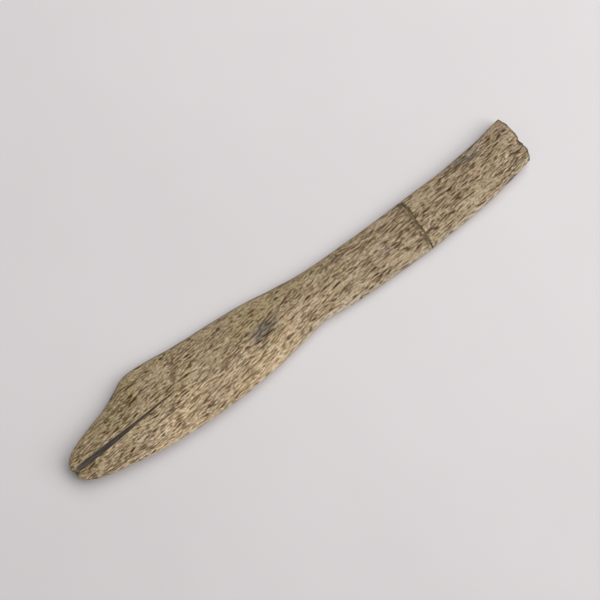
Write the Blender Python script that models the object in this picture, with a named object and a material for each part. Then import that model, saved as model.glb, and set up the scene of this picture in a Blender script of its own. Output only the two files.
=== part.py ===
"""Bone folder: a hand-carved bone folding tool whose handle was snapped across and glued back together.

It is three pieces: the blade with its shaft, the butt end that broke off behind it, and the film of
old glue that fills the break. +X runs from the blade's tip to the butt's broken end, +Z is up, and
the flat that is ground on the underside lies on z = 0. The origin is the middle of the underside.

Lengths below are in millimetres, measured from the tip along x and from the tool's long axis along y.
"""

import math

import bmesh
import bpy
import numpy as np

MM = 0.001

# Driving dimensions
FULL_LENGTH = 182.0  # of the blank, a little longer than the tool so that the broken end can be cut
BREAK_GAP = 1.2  # between the two bone faces of the glued break
GLUE_CLEARANCE = 0.3  # between the glue film and each bone face
GLUE_INSET = 0.35  # how far the film stays below the bone's surface
SOLE_FLAT = 0.35  # how much of the rounded underside is ground away to make the flat

# The outline seen from above: (distance from the tip, y of the edge)
UPPER_EDGE = (
    (0, -1.9), (1, 1.1), (4, 3.6), (10, 5.9), (19, 8.5), (25, 11.3), (31, 13.8), (36, 14.0), (55, 12.5),
    (70, 12.0), (81, 11.0), (93, 9.3), (100, 8.9), (118, 8.9), (136, 9.7), (155, 10.7), (170, 12.5),
    (182, 14.7),
)
LOWER_EDGE = (
    (0, -1.9), (1, -5.2), (4, -7.7), (10, -9.8), (22, -11.9), (42, -13.5), (58, -13.6), (70, -12.6),
    (84, -10.3), (92, -8.6), (97, -8.2), (112, -9.1), (130, -8.8), (142, -8.2), (155, -7.0), (166, -5.0),
    (173, -3.6), (182, -1.9),
)

# The side view: (distance from the tip, top of the crown, height of the widest line along the upper
# edge and along the lower edge, underside). The bone is bowed and slightly twisted: the tool rests on
# its middle, and the tip, the blade's lower edge and the butt stand clear
HEIGHTS = (
    (0, 5.5, 5.5, 5.5, 5.5), (1, 6.5, 5.4, 5.6, 4.9), (4, 6.9, 5.2, 5.6, 4.4), (10, 7.1, 4.7, 5.4, 3.8),
    (20, 7.1, 3.8, 5.0, 2.7), (30, 7.1, 3.1, 4.6, 1.8), (45, 6.9, 2.4, 4.2, 0.7), (60, 6.7, 2.1, 3.7, 0.05),
    (66, 6.65, 2.1, 3.5, 0.0), (90, 6.6, 2.4, 2.4, 0.0), (118, 6.1, 2.6, 1.9, 0.0), (150, 6.3, 3.2, 2.3, 0.6),
    (182, 7.1, 4.2, 3.6, 1.6),
)

# How square the section is: 2 is an ellipse, and more is squarer
WIDTH_POWER, CROWN_POWER, SOLE_POWER = 2.5, 1.9, 3.0
RINGS, RING_POINTS = 76, 30

# The slit in the tip: (distance from the tip, y of its middle, width, height of its floor)
SLIT = (
    (-3.0, -3.0, 0.4, 6.1), (2.6, -2.95, 0.4, 5.7), (4.2, -2.4, 1.7, 5.5), (10.0, -1.9, 1.7, 5.1),
    (17.0, -1.35, 1.55, 4.9), (28.0, -0.5, 0.9, 5.2), (42.5, 0.8, 0.15, 6.5),
)

# The glued break, seen from above: (y, distance from the tip) at its middle
BREAK_LINE = (
    (15, 136.1), (9.5, 136.4), (6.5, 136.9), (3, 137.2), (0, 137.0), (-3, 137.1), (-6.5, 137.3),
    (-9, 136.7), (-15, 136.5),
)

# The butt's broken end, seen from above: (y, distance from the tip)
BROKEN_END = (
    (20, 176.5), (14.0, 178.0), (12.0, 179.0), (9.5, 179.3), (7.1, 179.9), (5.0, 180.1), (3.9, 179.3),
    (2.8, 179.7), (0.8, 180.2), (-1.2, 179.8), (-2.6, 179.0), (-8, 178.0),
)
END_SLOPE_DEG = 8.0  # the broken face leans back from its foot

BONE_COLOUR = (0.33, 0.25, 0.16, 1.0)
GLUE_COLOUR = (0.11, 0.075, 0.04, 1.0)
CUTTER_BOTTOM, CUTTER_TOP = -6.0, 16.0


def clear_scene():
    for thing in list(bpy.data.objects):
        bpy.data.objects.remove(thing)


def collection(name):
    made = bpy.data.collections.new(name)
    bpy.context.scene.collection.children.link(made)
    return made


def material(name, colour, roughness):
    made = bpy.data.materials.new(name)
    made.use_nodes = True
    shader = made.node_tree.nodes["Principled BSDF"]
    shader.inputs["Base Color"].default_value = colour
    shader.inputs["Roughness"].default_value = roughness
    shader.inputs["Metallic"].default_value = 0.0
    return made


def smooth_curve(points):
    """A smooth function through the points that never swings past them. It is drawn against the square
    root of the distance from the tip, so that a curve that starts steeply there has a round end."""
    roots = np.sqrt([p[0] for p in points])
    values = np.array([p[1] for p in points], float)
    rises = np.diff(values) / np.diff(roots)
    slopes = np.concatenate(([rises[0]], np.zeros(len(points) - 2), [rises[-1]]))
    for i in range(1, len(points) - 1):
        if rises[i - 1] * rises[i] > 0:
            slopes[i] = 2 * rises[i - 1] * rises[i] / (rises[i - 1] + rises[i])

    def value_at(x):
        root = math.sqrt(x)
        i = int(np.clip(np.searchsorted(roots, root) - 1, 0, len(roots) - 2))
        step = roots[i + 1] - roots[i]
        t = (root - roots[i]) / step
        return (
            (2 * t**3 - 3 * t**2 + 1) * values[i]
            + (t**3 - 2 * t**2 + t) * step * slopes[i]
            + (3 * t**2 - 2 * t**3) * values[i + 1]
            + (t**3 - t**2) * step * slopes[i + 1]
        )

    return value_at


def bone_ring(x, edges, heights, inset):
    """The points of the section at x: a domed top, rounded edges and a flat ground on the underside."""
    upper, lower = (edge(x) for edge in edges)
    crown, upper_line, lower_line, sole = (height(x) for height in heights)
    half_width = max((upper - lower) / 2 - inset, 0.0)
    crown, sole = crown - inset, sole + inset
    ring = []
    for k in range(RING_POINTS):
        angle = 2 * math.pi * k / RING_POINTS
        across, rise = math.cos(angle), math.sin(angle)
        y = (upper + lower) / 2 + half_width * math.copysign(abs(across) ** (2 / WIDTH_POWER), across)
        widest = (upper_line + lower_line) / 2 + (upper_line - lower_line) / 2 * across
        if rise >= 0:
            z = widest + (crown - widest) * rise ** (2 / CROWN_POWER)
        else:
            depth = widest - sole
            z = max(widest - (depth + SOLE_FLAT * min(depth, 1.0)) * (-rise) ** (2 / SOLE_POWER), sole)
        ring.append((x * MM, y * MM, z * MM))
    return ring


def bone_blank(name, inset=0.0):
    """The uncut bone, lofted through its sections. They lie closest together at the round tip."""
    edges = [smooth_curve(UPPER_EDGE), smooth_curve(LOWER_EDGE)]
    heights = [smooth_curve([(row[0], row[column]) for row in HEIGHTS]) for column in (1, 2, 3, 4)]
    places = np.linspace(0.0, math.sqrt(FULL_LENGTH), RINGS) ** 2
    bm = bmesh.new()
    rings = [[bm.verts.new(p) for p in bone_ring(x, edges, heights, inset)] for x in places[1:]]
    for near, far in zip(rings, rings[1:]):
        for k in range(RING_POINTS):
            after = (k + 1) % RING_POINTS
            bm.faces.new((near[k], near[after], far[after], far[k]))
    tip = bm.verts.new((0.0, edges[0](0.0) * MM, heights[0](0.0) * MM))
    for k in range(RING_POINTS):
        bm.faces.new((tip, rings[0][(k + 1) % RING_POINTS], rings[0][k]))
    bm.faces.new(rings[-1])
    bmesh.ops.recalc_face_normals(bm, faces=bm.faces)
    mesh = bpy.data.meshes.new(name)
    bm.to_mesh(mesh)
    bm.free()
    return bpy.data.objects.new(name, mesh)


def flat_cutter(name, outline, holder):
    """A tall solid with this outline seen from above, made from a filled 2D curve."""
    data = bpy.data.curves.new(name, "CURVE")
    data.dimensions = "2D"
    data.fill_mode = "BOTH"
    data.extrude = (CUTTER_TOP - CUTTER_BOTTOM) / 2 * MM
    line = data.splines.new("POLY")
    line.points.add(len(outline) - 1)
    for point, (x, y) in zip(line.points, outline):
        point.co = (x * MM, y * MM, 0, 1)
    line.use_cyclic_u = True
    curve = bpy.data.objects.new(name + "_outline", data)
    curve.location.z = (CUTTER_TOP + CUTTER_BOTTOM) / 2 * MM
    holder.objects.link(curve)
    graph = bpy.context.evaluated_depsgraph_get()
    mesh = bpy.data.meshes.new_from_object(curve.evaluated_get(graph))
    bm = bmesh.new()
    bm.from_mesh(mesh)
    bmesh.ops.remove_doubles(bm, verts=bm.verts, dist=0.01 * MM)
    bmesh.ops.recalc_face_normals(bm, faces=bm.faces)
    bm.to_mesh(mesh)
    bm.free()
    cutter = bpy.data.objects.new(name, mesh)
    cutter.matrix_world = curve.matrix_world
    bpy.data.objects.remove(curve)
    holder.objects.link(cutter)
    cutter.hide_render = True
    cutter.display_type = "WIRE"
    return cutter


def slit_cutter(holder):
    """A slender wedge that runs out to nothing behind the tip. It doesn't reach the underside."""
    one_side = [(x, y + width / 2) for x, y, width, _ in SLIT]
    other_side = [(x, y - width / 2) for x, y, width, _ in reversed(SLIT)]
    cutter = flat_cutter("slit_cutter", one_side + other_side, holder)
    places = [row[0] for row in SLIT]
    floors = [row[3] for row in SLIT]
    for vertex in cutter.data.vertices:
        if vertex.co.z < 0:
            vertex.co.z = np.interp(vertex.co.x / MM, places, floors) * MM - cutter.location.z
    return cutter


def break_cutter(name, offset, towards, holder):
    """Everything on one side of the break line, moved along x by offset. towards is the far side's x."""
    line = [(x + offset, y) for y, x in BREAK_LINE]
    return flat_cutter(name, [*line, (towards, BREAK_LINE[-1][0]), (towards, BREAK_LINE[0][0])], holder)


def end_cutter(holder):
    """Everything beyond the ragged broken end, leaning back so that the foot of the break sticks out."""
    beyond = FULL_LENGTH + 20
    outline = [(x, y) for y, x in BROKEN_END] + [(beyond, BROKEN_END[-1][0]), (beyond, BROKEN_END[0][0])]
    cutter = flat_cutter("end_cutter", outline, holder)
    lean = math.tan(math.radians(END_SLOPE_DEG))
    for vertex in cutter.data.vertices:
        vertex.co.x -= (vertex.co.z + cutter.location.z) * lean
    return cutter


def cut(piece, cutter):
    change = piece.modifiers.new("cut_" + cutter.name, "BOOLEAN")
    change.operation = "DIFFERENCE"
    change.solver = "EXACT"
    change.object = cutter


def shade_round(piece):
    piece.data.shade_smooth()
    piece.data.set_sharp_from_angle(angle=math.radians(40))


def make_blade(cutters):
    """The working end, the waist and the shaft, up to the glued break."""
    blade = bone_blank("blade_and_shaft")
    cut(blade, slit_cutter(cutters))
    cut(blade, break_cutter("behind_break", -BREAK_GAP / 2, FULL_LENGTH + 30, cutters))
    return blade


def make_butt(cutters):
    """The short end of the handle that snapped off, with its own ragged broken end."""
    butt = bone_blank("butt_end")
    cut(butt, break_cutter("before_break", BREAK_GAP / 2, -30, cutters))
    cut(butt, end_cutter(cutters))
    return butt


def make_glue(cutters):
    """The film of glue between the two broken faces, a little below the bone's surface all round."""
    film = bone_blank("glue_film", inset=GLUE_INSET)
    half_film = BREAK_GAP / 2 - GLUE_CLEARANCE
    cut(film, break_cutter("behind_glue", half_film, FULL_LENGTH + 30, cutters))
    cut(film, break_cutter("before_glue", -half_film, -30, cutters))
    return film


def stand_on_origin(frame, pieces):
    """Moves the frame that carries everything so that the tool's box stands centred on the origin."""
    bpy.context.view_layer.update()
    graph = bpy.context.evaluated_depsgraph_get()
    corners = []
    for piece in pieces:
        shown = piece.evaluated_get(graph)
        corners += [shown.matrix_world @ v.co for v in shown.data.vertices]
    low, high = np.min(corners, axis=0), np.max(corners, axis=0)
    frame.location = (-(low[0] + high[0]) / 2, -(low[1] + high[1]) / 2, -low[2])


def main():
    clear_scene()
    parts, cutters = collection("bone_folder"), collection("cutters")
    bone = material("bone", BONE_COLOUR, 0.55)
    glue = material("old_glue", GLUE_COLOUR, 0.4)
    pieces = [(make_blade(cutters), bone), (make_butt(cutters), bone), (make_glue(cutters), glue)]
    frame = bpy.data.objects.new("tool_frame", None)
    parts.objects.link(frame)
    for piece, finish in pieces:
        piece.data.materials.append(finish)
        shade_round(piece)
        parts.objects.link(piece)
        piece.parent = frame
    for cutter in cutters.objects:
        cutter.parent = frame
    stand_on_origin(frame, [piece for piece, _ in pieces])


main()
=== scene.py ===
import math

import bpy
import numpy as np
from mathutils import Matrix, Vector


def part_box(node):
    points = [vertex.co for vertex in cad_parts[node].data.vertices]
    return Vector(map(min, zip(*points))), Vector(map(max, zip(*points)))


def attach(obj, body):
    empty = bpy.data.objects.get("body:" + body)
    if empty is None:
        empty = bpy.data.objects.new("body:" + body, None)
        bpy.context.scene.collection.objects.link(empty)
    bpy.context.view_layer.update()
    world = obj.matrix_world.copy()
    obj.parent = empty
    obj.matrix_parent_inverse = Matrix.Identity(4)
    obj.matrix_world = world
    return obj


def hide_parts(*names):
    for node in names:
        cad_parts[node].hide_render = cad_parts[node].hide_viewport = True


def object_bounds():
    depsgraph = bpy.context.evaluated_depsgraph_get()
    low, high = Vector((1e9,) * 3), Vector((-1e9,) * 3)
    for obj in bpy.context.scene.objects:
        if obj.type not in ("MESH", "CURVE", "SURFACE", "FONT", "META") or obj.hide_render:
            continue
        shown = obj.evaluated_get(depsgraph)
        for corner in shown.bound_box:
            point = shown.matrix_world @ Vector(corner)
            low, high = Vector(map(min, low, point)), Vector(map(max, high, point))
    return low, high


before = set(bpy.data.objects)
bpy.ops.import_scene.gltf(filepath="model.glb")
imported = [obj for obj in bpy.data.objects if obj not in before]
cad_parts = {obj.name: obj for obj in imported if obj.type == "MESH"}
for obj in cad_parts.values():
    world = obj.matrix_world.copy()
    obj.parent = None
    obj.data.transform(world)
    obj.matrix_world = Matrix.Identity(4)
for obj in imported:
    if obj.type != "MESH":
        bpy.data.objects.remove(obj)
cad_box = [list(corner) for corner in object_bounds()]

# A carved bone folding tool. Lengths are in millimetres: x runs from the blade's tip to the butt, y
# from the tool's long axis towards its upper edge, and z up from the table.
MM = 0.001
SEED = 47

# where the millimetres sit in the frame: the tip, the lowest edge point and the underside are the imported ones
LOWEST_Y = -13.6
low_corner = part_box("blade_and_shaft")[0]
SHIFT = np.array([low_corner.x / MM, low_corner.y / MM - LOWEST_Y, low_corner.z / MM])

# ---- the outline seen from above: (x, y of the edge) ----
UPPER_EDGE = (
    (0, -1.5), (0.1, -0.6), (0.3, 0.15), (1.0, 1.15), (2.3, 2.4), (6.5, 4.6), (13, 6.7), (19.4, 8.55),
    (25.8, 11.6), (29.1, 13.25), (31.5, 13.85), (35, 14.0), (42, 13.6), (49, 12.9), (64, 12.25),
    (74.3, 11.7), (87.2, 10.05), (97, 9.05), (112, 8.9), (124, 9.1), (138, 9.8), (151, 10.3), (161.5, 11.25),
    (168, 12.0), (174.5, 13.1), (182, 14.1),
)
LOWER_EDGE = (
    (0, -1.5), (0.2, -2.5), (0.6, -4.1), (1.0, -5.2), (1.9, -6.3), (3.9, -7.6), (9.7, -9.65), (19.4, -11.4),
    (29, -12.7), (42, -13.5), (48.5, -13.6), (61.4, -13.2), (72.7, -12.1), (81, -10.8), (88, -9.55),
    (92.8, -8.55), (95.3, -8.25), (106, -8.85), (116, -9.1), (135, -8.7), (148, -7.8), (161.5, -6.3),
    (168, -5.1), (176, -3.6), (182, -2.0),
)

# ---- the side view: (x, top of the crown, height of the upper edge and of the lower edge, underside) ----
HEIGHTS = (
    (0, 5.5, 5.5, 5.5, 5.5), (1, 6.5, 5.4, 5.6, 4.9), (4, 6.9, 5.2, 5.6, 4.4), (10, 7.1, 4.7, 5.4, 3.8),
    (20, 7.1, 3.8, 5.0, 2.7), (30, 7.1, 3.1, 4.6, 1.8), (45, 6.9, 2.4, 4.2, 0.7), (60, 6.7, 2.1, 3.7, 0.05),
    (66, 6.65, 2.1, 3.5, 0.0), (90, 6.6, 2.4, 2.4, 0.0), (118, 6.1, 2.6, 1.9, 0.0), (150, 6.3, 3.2, 2.3, 0.6),
    (182, 7.1, 4.2, 3.6, 1.6),
)
WIDTH_POWER, CROWN_POWER, SOLE_POWER = 2.5, 1.9, 3.0
CROWN_EXTRA = 0.6  # the crown stays flatter towards the lower edge
SOLE_FLAT = 0.35

# ---- the slit in the tip, seen from above: (x, y of its middle, width) ----
SLIT = (
    (0, -3.05, 0.3), (0.7, -3.0, 0.5), (1.3, -2.85, 0.85), (2.1, -2.6, 1.25), (2.9, -2.35, 1.72),
    (10.5, -1.93, 1.85), (17, -1.45, 1.72), (22, -1.0, 1.4), (26.6, -0.62, 1.05), (30, -0.3, 0.78),
    (33.5, -0.03, 0.62), (36.8, 0.26, 0.48), (40, 0.55, 0.42), (44, 0.95, 0.3), (60, 2.0, 0.0),
)
SLIT_END = 44
SLIT_FLOOR = ((0, 6.0), (1.5, 5.8), (2.8, 5.7), (4.2, 5.5), (10, 5.1), (16, 4.9), (28, 5.2), (43, 6.3))
# across the slit: (distance from its middle, how far out the point lies, how deep), each from 0 to 1
SLIT_PROFILE = ((0, 0, 1.0), (0.38, 0.62, 0.97), (0.5, 0.80, 0.86), (0.86, 0.90, 0.10), (1.0, 1.0, 0.0))
# the nick where the slit opens at the tip, and the dirt packed in it
NICK_Y, NICK_DEPTH, NICK_HALF, NICK_FADE = -3.05, 1.5, 0.46, 2.2
NICK_DIRT_HALF = 0.85

# ---- the glued break and the ragged end, seen from above: (y, x) ----
BREAK_LINE = (
    (-15, 136.6), (-8.6, 136.6), (-6, 136.9), (-3, 137.1), (0, 136.75), (3.5, 136.6), (6.5, 136.85),
    (9.5, 136.3), (15, 136.2),
)
BREAK_HALF_GAP = (0.42, 0.24)  # half the width of the glue line in the upper and in the lower half
BROKEN_END = (
    (-8, 178.4), (-2.6, 179.1), (-1.9, 179.5), (-1.2, 179.8), (0, 180.15), (1.0, 180.2), (2.4, 179.85),
    (3.3, 179.2), (4.0, 179.0), (4.7, 179.6), (5.6, 180.0), (7.1, 179.9), (9.0, 179.6), (11.0, 179.3),
    (12.6, 178.6), (14.0, 178.1), (20, 177.5),
)
END_LEAN = math.tan(math.radians(8))  # the broken end leans back towards its top
RAGGED, CHIPPED = 0.16, 0.15  # how uneven the break and the broken end are
TIP_WEAR = ((0.3, 14), (0.3, 1.1))  # how far the tip is worn back, and how soon that fades

# ---- the rows and columns of the meshes, before their ends are bent to the break and the broken end ----
BLADE_END, BREAK_MIDDLE = 136.4, 136.9
BUTT_START, BUTT_END = 137.2, 179.5
BLADE_BEND, BUTT_BEND, END_BEND = 14.4, 14, 12  # the lengths over which the rows bend
SLOPE_SPAN = (136, 138)  # the glue follows the handle's slopes between these
ROWS_PER_MM = 2
TIP_CROWD = 2.0  # the rows lie closer together within about this far of the tip
TOP_COLUMNS, SLIT_COLUMNS, SOLE_COLUMNS = 244, 16, 60
BUTT_ROWS, BUTT_COLUMNS = 104, 330
GLUE_ROWS, GLUE_COLUMNS = 9, 190
CAP_RINGS, GLUE_CAP_RINGS = 22, 4

# ---- how the grain turns: (x, angle of the fibres to the long axis in degrees) ----
GRAIN_TURN = ((0, 4), (15, 5), (28, 6), (48, 8), (75, 12), (95, 12), (108, 10), (125, 4), (145, 7), (182, 9))


# ---------------------------------------------------------------- curves, noise and small helpers
def curve(points, column=1, root=False):
    """A smooth function through the points that never swings past them."""
    where = np.array([p[0] for p in points], float)
    if root:
        where = np.sqrt(where)
    values = np.array([p[column] for p in points], float)
    rises = np.diff(values) / np.diff(where)
    slopes = np.concatenate(([rises[0]], np.zeros(len(points) - 2), [rises[-1]]))
    same_way = rises[:-1] * rises[1:] > 0
    both = np.where(same_way, rises[:-1] + rises[1:], 1.0)
    slopes[1:-1] = np.where(same_way, 2 * rises[:-1] * rises[1:] / both, 0.0)

    def value_at(x):
        at = np.sqrt(np.maximum(x, 0.0)) if root else np.asarray(x, float)
        at = np.clip(at, where[0], where[-1])
        i = np.clip(np.searchsorted(where, at) - 1, 0, len(where) - 2)
        step = where[i + 1] - where[i]
        t = (at - where[i]) / step
        low, high = values[i], values[i + 1]
        hold = (2 * t**3 - 3 * t**2 + 1) * low + (3 * t**2 - 2 * t**3) * high
        lean = (t**3 - 2 * t**2 + t) * slopes[i] + (t**3 - t**2) * slopes[i + 1]
        return hold + lean * step

    return value_at


def smooth(low, high, x):
    """0 up to low and 1 from high on, or the other way round where low is the larger."""
    t = np.clip((x - low) / (high - low), 0.0, 1.0)
    return t * t * (3 - 2 * t)


GRADIENTS = np.random.default_rng(SEED).normal(size=(4096, 3))
GRADIENTS /= np.linalg.norm(GRADIENTS, axis=1)[:, None]


def noise(p, seed):
    """Gradient noise, about -1 to 1, at the points p. Each corner of a cell draws a direction."""
    cell = np.floor(p).astype(np.int64)
    f = p - cell
    w = f**3 * (f * (f * 6 - 15) + 10)
    total = np.zeros(p.shape[:-1])
    for dx in (0, 1):
        for dy in (0, 1):
            for dz in (0, 1):
                at = cell + (dx, dy, dz)
                key = (at[..., 0] * 73856093) ^ (at[..., 1] * 19349663) ^ (at[..., 2] * 83492791)
                key = key ^ (seed * 2654435)
                key = (key ^ (key >> 13)) & (len(GRADIENTS) - 1)
                toward = np.einsum("...i,...i", GRADIENTS[key], f - (dx, dy, dz))
                share = np.where(dx, w[..., 0], 1 - w[..., 0]) * np.where(dy, w[..., 1], 1 - w[..., 1])
                total += toward * share * np.where(dz, w[..., 2], 1 - w[..., 2])
    return total * 1.7


def layers(p, count, seed):
    """Noise with finer and fainter noise added to it."""
    return sum(noise(p * 2.1**k, seed + k) * 0.5**k for k in range(count))


upper_edge, lower_edge = curve(UPPER_EDGE, root=True), curve(LOWER_EDGE, root=True)
crown_z, upper_z, lower_z, sole_z = (curve(HEIGHTS, column, root=True) for column in (1, 2, 3, 4))
slit_y, slit_width = curve(SLIT, 1), curve(SLIT, 2)
slit_floor = curve(SLIT_FLOOR)
break_x, end_x = curve(BREAK_LINE), curve(BROKEN_END)
grain_x = np.linspace(0, 190, 1901)
grain_slope = np.tan(np.radians(curve(GRAIN_TURN)(grain_x)))
slope_steps = (grain_slope[1:] + grain_slope[:-1]) / 2 * np.diff(grain_x)
grain_rise = np.concatenate(([0.0], np.cumsum(slope_steps)))


def grain_space(p):
    """x, and how far across the fibres in y and z: the fibres run along lines where these two hold."""
    return np.stack([p[..., 0], p[..., 1] - np.interp(p[..., 0], grain_x, grain_rise), p[..., 2]], axis=-1)


# ---------------------------------------------------------------- the bone's surface
def section(x, angle):
    """y and z on the bone's surface at x. The angle is 0 at the upper edge, a quarter turn at the
    crown, half a turn at the lower edge and three quarters under the sole."""
    up, low = upper_edge(x), lower_edge(x)
    crown, sole = crown_z(x), sole_z(x)
    across, rise = np.cos(angle), np.sin(angle)
    widest = (upper_z(x) + lower_z(x)) / 2 + (upper_z(x) - lower_z(x)) / 2 * across
    y = (up + low) / 2 + (up - low) / 2 * np.sign(across) * np.abs(across) ** (2 / WIDTH_POWER)
    power = CROWN_POWER + CROWN_EXTRA * smooth(0.2, -0.7, across)
    top = widest + (crown - widest) * np.maximum(rise, 0) ** (2 / power)
    depth = widest - sole
    below = widest - (depth + SOLE_FLAT * np.minimum(depth, 1.0)) * np.maximum(-rise, 0) ** (2 / SOLE_POWER)
    return y, np.where(rise >= 0, top, np.maximum(below, sole))


def arc_places(x, start, end, samples=241):
    """Angles between start and end, how far along the section's outline each of them is, and its y."""
    angles = np.linspace(start, end, samples)
    y, z = section(x[:, None], angles[None, :])
    steps = np.hypot(np.diff(y, axis=1), np.diff(z, axis=1))
    return angles, np.concatenate((np.zeros((len(x), 1)), np.cumsum(steps, axis=1)), axis=1), y


def spaced_angles(x, shares, start, end):
    """Angles at the given shares of the outline's length, one row for each x."""
    angles, along, _ = arc_places(x, start, end)
    return np.array([np.interp(shares * run[-1], run, angles) for run in along])


def slit_band(x, whole, middle):
    """The columns that line the slit: where their middle is and how wide they are together. Beyond
    the slit they spread out and drift to the middle of the top."""
    even = whole * SLIT_COLUMNS / TOP_COLUMNS
    beyond = smooth(SLIT_END - 1, SLIT_END + 24, x)
    band = slit_width(x) + (even - slit_width(x)) * beyond
    middle = middle + (whole / 2 - middle) * smooth(SLIT_END, SLIT_END + 40, x)
    band = np.minimum(band, whole * 0.3)
    return np.clip(middle, band / 2 + whole * 0.04, whole * 0.96 - band / 2), band


def blade_grid(x):
    """The blade's surface points in rows along x and columns round the section, and how deep each
    point is in the slit. The middle columns of the top line the slit."""
    angles, along, y_samples = arc_places(x, 0.0, math.pi)
    whole = along[:, -1]
    middle = np.array([np.interp(-yc, -ys, run) for yc, ys, run in zip(slit_y(x), y_samples, along)])
    middle, band = slit_band(x, whole, middle)
    side = (TOP_COLUMNS - SLIT_COLUMNS) // 2
    first = np.linspace(0, 1, side + 1)[None, :] * (middle - band / 2)[:, None]
    q = np.linspace(-1, 1, SLIT_COLUMNS + 1)
    from_middle, out, deep = zip(*SLIT_PROFILE)
    out = np.sign(q) * np.interp(np.abs(q), from_middle, out)
    deep = np.interp(np.abs(q), from_middle, deep)
    cut = 1 - smooth(SLIT_END - 2, SLIT_END, x)
    spread = q[None, :] * (1 - cut[:, None]) + out[None, :] * cut[:, None]
    within = middle[:, None] + spread * (band / 2)[:, None]
    rest = (whole - middle - band / 2)[:, None]
    last = (middle + band / 2)[:, None] + np.linspace(0, 1, side + 1)[None, :] * rest
    places = np.concatenate((first[:, :-1], within, last[:, 1:]), axis=1)
    top = np.array([np.interp(place, run, angles) for place, run in zip(places, along)])
    sole = spaced_angles(x, np.linspace(0, 1, SOLE_COLUMNS + 1)[1:-1], math.pi, 2 * math.pi)
    y, z = section(x[:, None], np.concatenate((top, sole), axis=1))
    room = np.maximum(crown_z(x) - slit_floor(x), 0.0)
    room = room * smooth(0.1, 1.2, x) * (1 - smooth(SLIT_END - 3.5, SLIT_END, x))
    depth = np.zeros_like(z)
    depth[:, side : side + SLIT_COLUMNS + 1] = deep[None, :] * room[:, None]
    points = np.stack([np.broadcast_to(x[:, None], y.shape), y, z - depth], axis=-1)
    return points, depth


def plain_grid(x, columns):
    """Surface points in rows along x and evenly spaced columns round the section."""
    turn = spaced_angles(x, np.linspace(0, 1, columns + 1)[:-1], 0.0, 2 * math.pi)
    y, z = section(x[:, None], turn)
    return np.stack([np.broadcast_to(x[:, None], y.shape), y, z], axis=-1)


def grid_normals(grid):
    """Unit normals of a grid that is closed round its columns, pointing out."""
    round_way = np.roll(grid, -1, axis=1) - np.roll(grid, 1, axis=1)
    long_way = np.gradient(grid, axis=0)
    n = np.cross(round_way, long_way)
    length = np.linalg.norm(n, axis=-1, keepdims=True)
    return n / np.maximum(length, 1e-9)


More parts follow.
